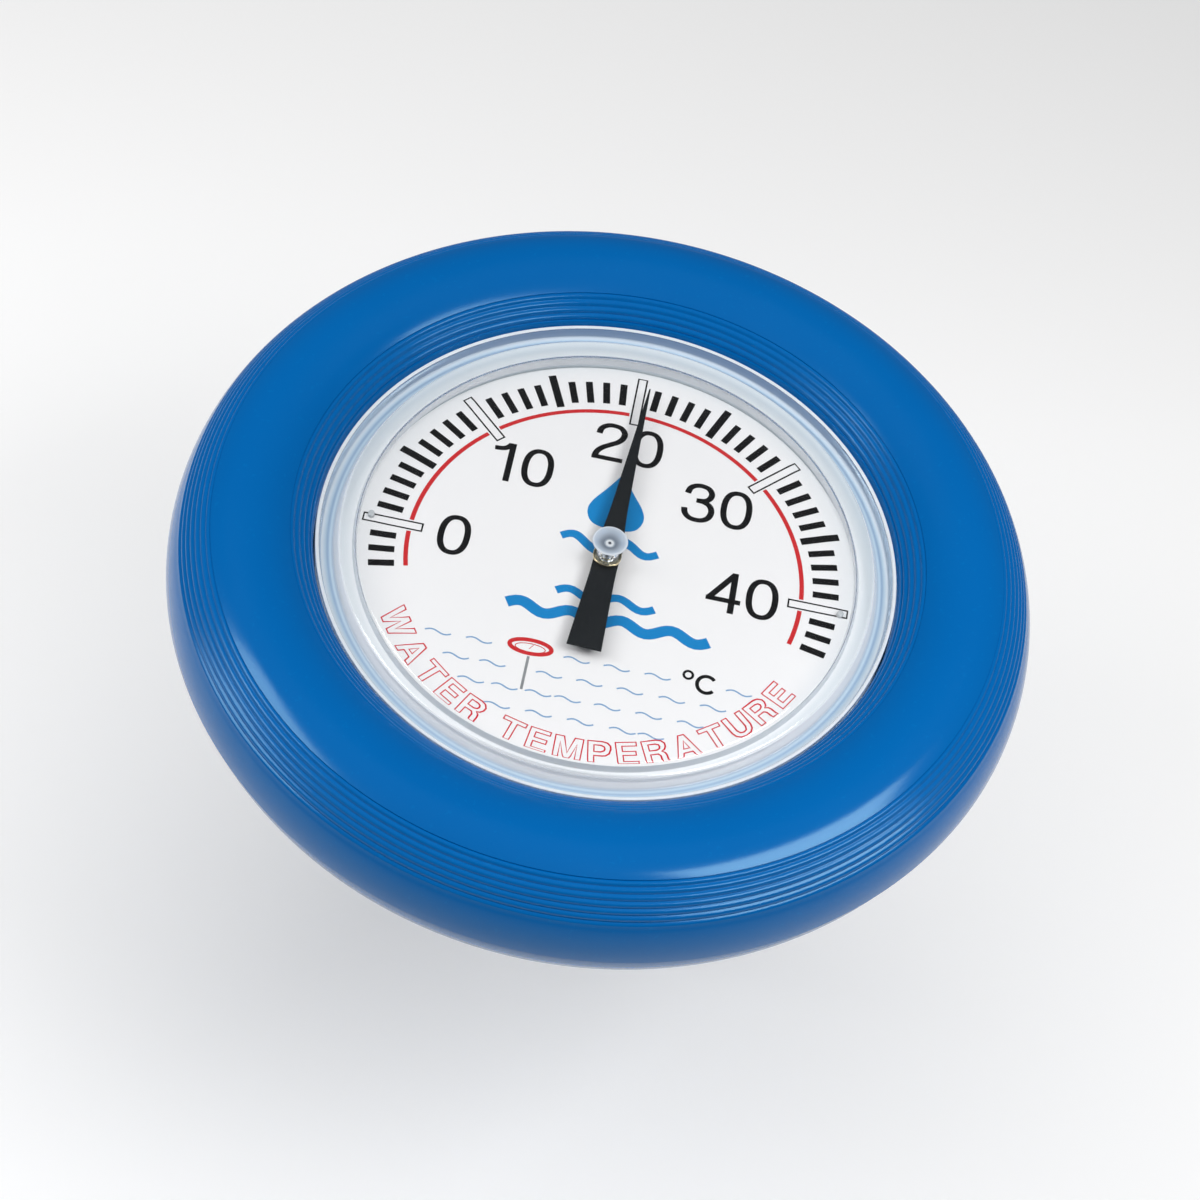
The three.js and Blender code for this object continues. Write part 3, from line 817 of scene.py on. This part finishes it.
# Each numeral's strokes on a height of 1: (points, is it smooth, is it closed)
NUMERALS = {
    "0": [(loop(0.262, 0.44, 2.35), False, True)],
    "1": [
        ([(0.165, 0.5), (0.165, -0.5)], False, False),
        ([(-0.2, 0.315), (-0.04, 0.33), (0.06, 0.38), (0.13, 0.475)], True, False),
    ],
    "2": [
        ([(-0.295, 0.18), (-0.27, 0.32), (-0.16, 0.42), (-0.03, 0.447), (0.13, 0.415), (0.222, 0.3),
          (0.215, 0.165), (0.13, 0.035), (-0.02, -0.07), (-0.17, -0.18), (-0.265, -0.3),
          (-0.3, -0.44)], True, False),
        ([(-0.36, -0.443), (0.285, -0.443)], False, False),
    ],
    "3": [
        ([(-0.29, 0.2), (-0.255, 0.335), (-0.16, 0.42), (-0.03, 0.447), (0.12, 0.41), (0.2, 0.3),
          (0.185, 0.17), (0.09, 0.08), (-0.09, 0.055)], True, False),
        ([(-0.09, 0.055), (0.08, 0.035), (0.2, -0.04), (0.248, -0.17), (0.215, -0.32), (0.11, -0.42),
          (-0.04, -0.448), (-0.19, -0.415), (-0.285, -0.31), (-0.312, -0.18)], True, False),
    ],
    "4": [
        ([(0.155, 0.5), (0.155, -0.5)], False, False),
        ([(-0.37, -0.2), (0.33, -0.2)], False, False),
        ([(-0.31, -0.2), (0.14, 0.45)], False, False),
    ],
}
NUMERAL_HEIGHT = 0.223
NUMERAL_STROKE = 0.112
NUMERAL_BREADTH = 1.16
NUMERAL_ADVANCE = 0.75
NUMBER_PLACES = {0: (-0.685, -0.003), 10: (-0.475, 0.463), 20: (0, 0.7), 30: (0.452, 0.453),
                 40: (0.629, -0.012)}


def numerals():
    """The numbers at the tens, drawn stroke by stroke and then broadened, strokes and all."""
    narrow = NUMERAL_HEIGHT / NUMERAL_BREADTH
    parts = []
    for number, (x, y) in NUMBER_PLACES.items():
        digits = str(number)
        for i, digit in enumerate(digits):
            shift = (i - (len(digits) - 1) / 2) * NUMERAL_ADVANCE
            for points, is_smooth, is_closed in NUMERALS[digit]:
                run = smooth_run(points) if is_smooth else points
                sized = [(px * narrow, py * NUMERAL_HEIGHT) for px, py in run]
                stroke = ink_line(on_dial(sized), NUMERAL_STROKE * NUMERAL_HEIGHT * SCALE_R, is_closed)
                stroke.data.transform(Matrix.Diagonal((NUMERAL_BREADTH, 1, 1, 1)))
                place = ((x + shift * NUMERAL_HEIGHT) * SCALE_R, y * SCALE_R, 0)
                stroke.data.transform(Matrix.Translation(place))
                parts.append(stroke)
    return finished(joined("print_numerals", parts), FLOAT, black_ink)


def unit_mark():
    """The degree ring and its C."""
    ring_x, ring_y, ring_r = 0.446, -0.486, 0.02
    ring = [(x + ring_x, y + ring_y) for x, y in loop(ring_r, ring_r, steps=20)]
    letter_x, letter_y, half_width, half_height = 0.53, -0.518, 0.041, 0.043
    opening, sweep, steps = 40, 280, 24
    letter = []
    for i in range(steps + 1):
        angle = math.radians(opening + sweep * i / steps)
        letter.append((letter_x + half_width * math.cos(angle), letter_y + half_height * math.sin(angle)))
    width = 0.017 * SCALE_R
    ring_width = 0.7 * width
    parts = [ink_line(on_dial(ring), ring_width, True), ink_line(on_dial(letter), width)]
    return finished(joined("print_unit_mark", parts), FLOAT, black_ink)


# Outlined capitals on a cap height of 1: (width, closed loops)
CAPITALS = {
    "W": (1.2, [[(0, 1), (0.26, 0), (0.45, 0), (0.6, 0.64), (0.75, 0), (0.94, 0), (1.2, 1), (1.0, 1),
                 (0.84, 0.32), (0.69, 1), (0.51, 1), (0.36, 0.32), (0.2, 1)]]),
    "A": (0.88, [[(0, 0), (0.34, 1), (0.54, 1), (0.88, 0), (0.67, 0), (0.6, 0.22), (0.28, 0.22), (0.21, 0)],
                 [(0.335, 0.39), (0.545, 0.39), (0.44, 0.74)]]),
    "T": (0.8, [[(0, 1), (0.8, 1), (0.8, 0.83), (0.5, 0.83), (0.5, 0), (0.3, 0), (0.3, 0.83), (0, 0.83)]]),
    "E": (0.7, [[(0, 0), (0, 1), (0.68, 1), (0.68, 0.83), (0.2, 0.83), (0.2, 0.6), (0.64, 0.6),
                 (0.64, 0.43), (0.2, 0.43), (0.2, 0.17), (0.7, 0.17), (0.7, 0)]]),
    "R": (0.79, [[(0, 0), (0, 1), (0.5, 1), (0.66, 0.95), (0.76, 0.82), (0.76, 0.68), (0.7, 0.55),
                  (0.6, 0.49), (0.7, 0.42), (0.74, 0.3), (0.75, 0.08), (0.79, 0), (0.57, 0), (0.54, 0.12),
                  (0.53, 0.3), (0.46, 0.39), (0.2, 0.39), (0.2, 0)],
                 [(0.2, 0.56), (0.44, 0.56), (0.54, 0.61), (0.57, 0.7), (0.54, 0.79), (0.44, 0.83),
                  (0.2, 0.83)]]),
    "M": (0.92, [[(0, 0), (0, 1), (0.28, 1), (0.46, 0.3), (0.64, 1), (0.92, 1), (0.92, 0), (0.74, 0),
                  (0.74, 0.74), (0.55, 0), (0.37, 0), (0.18, 0.74), (0.18, 0)]]),
    "P": (0.75, [[(0, 0), (0, 1), (0.47, 1), (0.64, 0.95), (0.74, 0.82), (0.75, 0.68), (0.7, 0.49),
                  (0.58, 0.39), (0.47, 0.37), (0.2, 0.37), (0.2, 0)],
                 [(0.2, 0.54), (0.42, 0.54), (0.53, 0.6), (0.56, 0.69), (0.53, 0.78), (0.42, 0.83),
                  (0.2, 0.83)]]),
    "U": (0.76, [[(0, 1), (0, 0.32), (0.05, 0.14), (0.18, 0.02), (0.38, -0.02), (0.58, 0.02), (0.71, 0.14),
                  (0.76, 0.32), (0.76, 1), (0.56, 1), (0.56, 0.33), (0.5, 0.19), (0.38, 0.15), (0.26, 0.19),
                  (0.2, 0.33), (0.2, 1)]]),
}
CAP_HEIGHT = 0.13
CAP_GAP = 0.2
WORD_GAP = 0.5


def legend():
    """WATER TEMPERATURE in outlined capitals along the lower edge."""
    words = "WATER TEMPERATURE"
    foot_r = 1.05
    line = 0.37 * MM
    middle_r = foot_r - CAP_HEIGHT / 2
    widths = [WORD_GAP - CAP_GAP if letter == " " else CAPITALS[letter][0] for letter in words]
    along = -(sum(widths) + CAP_GAP * (len(words) - 1)) / 2
    parts = []
    for letter, width in zip(words, widths):
        turn = (along + width / 2) * CAP_HEIGHT / middle_r
        for corners in CAPITALS[letter][1] if letter != " " else []:
            placed = [((x - width / 2) * CAP_HEIGHT, y * CAP_HEIGHT - foot_r) for x, y in corners]
            outline = ink_line(on_dial(placed), line, closed=True)
            outline.data.transform(Matrix.Rotation(turn, 4, "Z"))
            parts.append(outline)
        along += width + CAP_GAP
    return finished(joined("print_legend", parts), FLOAT, legend_ink)


def ripple(length, height, steps=12):
    """One small wave stroke, centred on the origin."""
    points = []
    for i in range(steps + 1):
        t = i / steps
        points.append(((t - 0.5) * length, height * math.sin(2 * math.pi * t)))
    return points


# The small waves: each row's height, and where its waves stand along it
RIPPLE_ROWS = {
    -0.527: (-0.648, -0.468, -0.039, 0.137, 0.317, 0.674),
    -0.63: (-0.549, -0.389, -0.142, 0.034, 0.211, 0.394, 0.574),
    -0.733: (-0.463, -0.317, -0.171, -0.043, 0.129, 0.309, 0.489),
    -0.833: (-0.331, -0.151, 0.029, 0.211, 0.334),
}


def water_lines():
    """Rows of small waves below the hub."""
    length, height, line = 0.115, 0.009, 0.0075
    wave = ink_line(on_dial(ripple(length, height)), line * SCALE_R)
    parts = []
    for y, row in RIPPLE_ROWS.items():
        for x in row:
            parts.append(copied(wave, Matrix.Translation((x * SCALE_R, y * SCALE_R, 0))))
    bpy.data.objects.remove(wave)
    return finished(joined("print_water_lines", parts), FLOAT, pale_blue_ink)


def little_float():
    """The small picture of a float ring with its stem in the water."""
    x, y = -0.245, -0.508
    ring = [(px + x, py + y) for px, py in loop(0.092, 0.035)]
    inner = [(px + x, py + y - 0.006) for px, py in loop(0.066, 0.022)]
    bold, fine, hair, stem_width = (share * SCALE_R for share in (0.02, 0.004, 0.003, 0.012))
    parts = [ink_line(on_dial(ring), bold, True), ink_line(on_dial(inner), fine, True)]
    hand = [(x - 0.004, y - 0.012), (x + 0.012, y + 0.012)]
    parts.append(ink_line(on_dial(hand), hair))
    finished(joined("print_little_ring", parts), FLOAT, red_ink)
    stem = ink_line(on_dial([(x, y - 0.05), (x, y - 0.222)]), stem_width)
    finished(joined("print_little_stem", [stem]), FLOAT, grey_ink)


# The bold waves: (x, y, length, line width)
BOLD_WAVES = [(0.0, 0.115, 0.44, 0.04), (0.03, -0.185, 0.44, 0.04), (0.06, -0.3, 0.9, 0.055)]


def emblem():
    """A plain drop above the hub and bold waves round it, in place of any mark."""
    drop = [(0.0, 0.53), (0.06, 0.43), (0.115, 0.345), (0.128, 0.28), (0.09, 0.21), (0.0, 0.18),
            (-0.09, 0.21), (-0.128, 0.28), (-0.115, 0.345), (-0.06, 0.43), (0.0, 0.53)]
    parts = [ink_patch(on_dial(smooth_run(drop)[:-1]))]
    one_wave, height = 0.22, 0.022
    for x, y, length, weight in BOLD_WAVES:
        waves = max(1, round(length / one_wave))
        steps = waves * 12
        run = []
        for i in range(steps + 1):
            t = i / steps
            run.append((x + (t - 0.5) * length, y + height * math.sin(2 * math.pi * t * waves)))
        parts.append(ink_line(on_dial(run), weight * SCALE_R))
    return finished(joined("print_drop_and_waves", parts), FLOAT, blue_ink)


# ---------------------------------------------------------------- pointer, arbor and stem


def needle():
    """The wedge pointer, with a broad tail and a fine tip, at the reading that the frame holds."""
    low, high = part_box("pointer")
    tail, tip = 23.4 * MM, 47.2 * MM
    half_tail, half_tip = 3.6 * MM, 0.15 * MM
    outline = [(-tail, -half_tail), (tip, -half_tip), (tip, half_tip), (-tail, half_tail)]
    outline.append(outline[0])
    piece = draw("needle", [(x, y, low.z) for x, y in outline])
    bpy.ops.mesh.select_all(action="SELECT")
    bpy.ops.mesh.remove_doubles(threshold=WELD)
    bpy.ops.mesh.select_all(action="SELECT")
    bpy.ops.mesh.edge_face_add()
    bpy.ops.mesh.extrude_region_move(TRANSFORM_OT_translate={"value": (0, 0, high.z - low.z)})
    close_mesh()
    bpy.ops.object.select_all(action="DESELECT")
    hole_r, drill, edge = 1.9 * MM, 4 * MM, 0.06 * MM
    bpy.ops.mesh.primitive_cylinder_add(vertices=48, radius=hole_r, depth=drill, location=(0, 0, low.z))
    cut_with(piece, bpy.context.object)
    softened(piece, edge)
    reading = 20.5
    piece.data.transform(Matrix.Rotation(scale_angle(reading), 4, "Z"))
    return finished(piece, MOVEMENT, black_paint, ["pointer"])


def hub():
    """The bush that holds the needle on its shaft, with a flange above the needle."""
    low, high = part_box("pointer_hub")
    bore, spigot, flange, edge = 1.1 * MM, 1.6 * MM, 2.7 * MM, 0.2 * MM
    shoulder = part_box("pointer")[1].z + GAP
    section = [(bore, low.z), (spigot, low.z), (spigot, shoulder),
               (flange, shoulder), (flange, high.z), (bore, high.z)]
    piece = turned("needle_hub", rounded(section, edge), steps=64)
    return finished(piece, MOVEMENT, hub_metal, ["pointer_hub"])


def shaft():
    """The shaft that turns the needle."""
    low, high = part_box("arbor")
    radius = (high.x - low.x) / 2
    edge = 0.3 * MM
    section = [(0, low.z), (radius, low.z), (radius, high.z), (0, high.z)]
    piece = turned("needle_shaft", rounded(section, edge, closed=False), steps=40)
    return finished(piece, MOVEMENT, steel, ["arbor"])


def pipe(name, node, inner, radius, material, steps=64):
    """A turned sleeve in the place of a node, with its edges softened."""
    low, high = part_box(node)
    section = [(inner, low.z), (high.x, low.z), (high.x, high.z), (inner, high.z)]
    piece = turned(name, rounded(section, radius), steps=steps)
    return finished(piece, FLOAT, material, [node])


def stem_nose():
    """The plug that closes the stem's lower end."""
    low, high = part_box("stem_tip_plug")
    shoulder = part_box("stem_tube")[0].z - GAP
    face_r, chamfer, inner, edge = 2.6 * MM, 1 * MM, 3.2 * MM, 0.3 * MM
    corners = [(0, low.z), (face_r, low.z), (high.x, low.z + chamfer), (high.x, shoulder),
               (inner, shoulder), (inner, high.z), (0, high.z)]
    piece = turned("stem_nose", rounded(corners, edge, closed=False), steps=64)
    return finished(piece, FLOAT, steel, ["stem_tip_plug"])


def stem_seal():
    """The rubber ring between the stem's flange and its holder."""
    low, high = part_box("stem_oring")
    wire = (high.z - low.z) / 2
    bpy.ops.object.select_all(action="DESELECT")
    bpy.ops.mesh.primitive_torus_add(
        location=(0, 0, 0), major_radius=high.x - wire, minor_radius=wire,
        major_segments=64, minor_segments=20,
    )
    piece = bpy.context.object
    piece.name = "stem_seal"
    piece.data.transform(Matrix.Translation((0, 0, (low.z + high.z) / 2)))
    bpy.ops.object.shade_smooth()
    return finished(piece, FLOAT, black_rubber, ["stem_oring"])


def socket():
    """The holder under the tray that the stem stands in and the nut screws onto."""
    low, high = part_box("stem_socket")
    bore, counterbore, spigot, edge = 3.3 * MM, 4.4 * MM, 6 * MM, 0.25 * MM
    shoulder = TRAY_BOTTOM - GAP
    step_z = -4.6 * MM
    corners = [(bore, high.z), (spigot, high.z), (spigot, shoulder), (high.x, shoulder), (high.x, low.z),
               (counterbore, low.z), (counterbore, step_z), (bore, step_z)]
    piece = turned("stem_holder", rounded(corners, edge), steps=96)
    return finished(piece, FLOAT, white_plastic, ["stem_socket"])


def clamp_nut():
    """A six-sided nut, chamfered at both ends, with a lip that carries the stem's collar."""
    low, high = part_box("gland_nut")
    corner_r = high.x
    flat_r = corner_r * math.cos(math.pi / 6)
    middle = (low.z + high.z) / 2
    bpy.ops.object.select_all(action="DESELECT")
    height = high.z - low.z
    bpy.ops.mesh.primitive_cylinder_add(vertices=6, radius=corner_r, depth=height, location=(0, 0, 0))
    piece = bpy.context.object
    piece.name = "clamp_nut"
    piece.data.transform(Matrix.Rotation(math.radians(30), 4, "Z"))
    piece.data.transform(Matrix.Translation((0, 0, middle)))
    chamfer = (corner_r - flat_r) * 0.6
    face_r, past_r = flat_r - 0.3 * MM, corner_r + 0.2 * MM
    below, above = low.z - MM, high.z + MM  # the tools run out past both ends
    barrel = [(0, below), (face_r, below), (face_r, low.z), (past_r, low.z + chamfer),
              (past_r, high.z - chamfer), (face_r, high.z), (face_r, above), (0, above)]
    cut_with(piece, turned("barrel", barrel, steps=96), "INTERSECT")
    lip_r, thread_r, edge = 5 * MM, 9.3 * MM, 0.2 * MM
    lip_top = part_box("stem_collar")[0].z - GAP
    bore = [(0, below), (lip_r, below), (lip_r, lip_top), (thread_r, lip_top), (thread_r, above), (0, above)]
    cut_with(piece, turned("bore", bore, steps=96))
    softened(piece, edge, segments=3, limit=25)
    return finished(piece, FLOAT, white_plastic, ["gland_nut"])


def inner_works():
    """The nodes that keep their own shape, with their finishes."""
    finishes = {"upper_bearing": brass, "lower_bearing": brass, "coil_clamp": brass,
                "coil_anchor": brass, "bimetal_coil": bimetal}
    for node, material in finishes.items():
        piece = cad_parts[node]
        piece.data.materials.clear()
        piece.data.materials.append(material)


ring_top()
ring_bottom()
cover()
gasket()
tray()
dial()
peg(-1)
peg(1)
scale_ticks()
decade_bars()
scale_arc()
numerals()
unit_mark()
legend()
water_lines()
little_float()
emblem()
needle()
hub()
shaft()
pipe("stem_pipe", "stem_tube", 3.5 * MM, 0.15 * MM, steel)
stem_nose()
pipe("stem_flange", "stem_collar", 4.3 * MM, 0.2 * MM, steel)
stem_seal()
socket()
clamp_nut()
inner_works()


# ---------------------------------------------------------------- floor, light and camera


def floor():
    """A wide pale floor just under the stem's tip. It glows a little, to stay pale in the shade."""
    bpy.ops.object.select_all(action="DESELECT")
    width = 8
    bpy.ops.mesh.primitive_plane_add(size=width, location=(0, 0, STEM_TIP - MM))
    ground = bpy.context.object
    ground.name = "floor"
    pale = bpy.data.materials.new("pale_floor")
    pale.use_nodes = True
    shader = pale.node_tree.nodes["Principled BSDF"]
    shader.inputs["Base Color"].default_value = (0.9, 0.9, 0.9, 1)
    shader.inputs["Roughness"].default_value = 0.9
    shader.inputs["Specular IOR Level"].default_value = 0.0
    shader.inputs["Emission Color"].default_value = (1, 1, 1, 1)
    shader.inputs["Emission Strength"].default_value = 0.14
    ground.data.materials.append(pale)


def soft_box(name, centre, size, turn_deg, power, shines=True):
    """A flat rectangular lamp facing the floor. One that doesn't shine isn't seen in gloss or glass."""
    lamp = bpy.data.lights.new(name, "AREA")
    lamp.shape = "RECTANGLE"
    lamp.size, lamp.size_y = size
    lamp.energy = power
    lamp.use_shadow = True
    holder = bpy.data.objects.new(name, lamp)
    bpy.context.scene.collection.objects.link(holder)
    holder.location = centre
    holder.rotation_euler = (0, 0, math.radians(turn_deg))
    holder.visible_glossy = shines
    holder.visible_transmission = shines
    return holder


def lights():
    """Two soft boxes that show in gloss, a wide fill that doesn't, and a dim world that looks pale to
    the camera alone."""
    soft_box("key", (0.297, -0.104, 0.415), (0.312, 0.2), 50, 1.7)
    soft_box("side", (-0.55, -0.08, 0.4), (0.52, 0.24), 0, 2.4)
    soft_box("fill", (-0.1, 0.0, 1.3), (1.6, 1.6), 0, 12.4, shines=False)
    world = bpy.data.worlds.new("studio")
    world.use_nodes = True
    tree = world.node_tree
    dim = tree.nodes["Background"]
    dim.inputs["Color"].default_value = (1, 1, 1, 1)
    dim.inputs["Strength"].default_value = 0.07
    backdrop = tree.nodes.new("ShaderNodeBackground")
    backdrop.inputs["Color"].default_value = (0.95, 0.95, 0.95, 1)
    blend = tree.nodes.new("ShaderNodeMixShader")
    path = tree.nodes.new("ShaderNodeLightPath")
    tree.links.new(path.outputs["Is Camera Ray"], blend.inputs["Fac"])
    tree.links.new(dim.outputs["Background"], blend.inputs[1])
    tree.links.new(backdrop.outputs["Background"], blend.inputs[2])
    tree.links.new(blend.outputs["Shader"], tree.nodes["World Output"].inputs["Surface"])
    bpy.context.scene.world = world


def camera():
    """Looks at the dial's centre from the front and above, rolled a little."""
    elevation = math.radians(53.6)
    roll = math.radians(11.6)
    distance = 0.473
    lens = bpy.data.cameras.new("camera")
    lens.lens = 68
    lens.sensor_width = 36
    lens.shift_x = -0.004
    lens.shift_y = -0.027
    holder = bpy.data.objects.new("camera", lens)
    bpy.context.scene.collection.objects.link(holder)
    aim = Matrix.Translation((0, 0, DIAL_TOP))
    tilt = Matrix.Rotation(math.pi / 2 - elevation, 4, "X")
    holder.matrix_world = aim @ tilt @ Matrix.Translation((0, 0, distance)) @ Matrix.Rotation(roll, 4, "Z")
    bpy.context.scene.camera = holder


floor()
lights()
camera()
bpy.context.scene.view_settings.view_transform = "Standard"
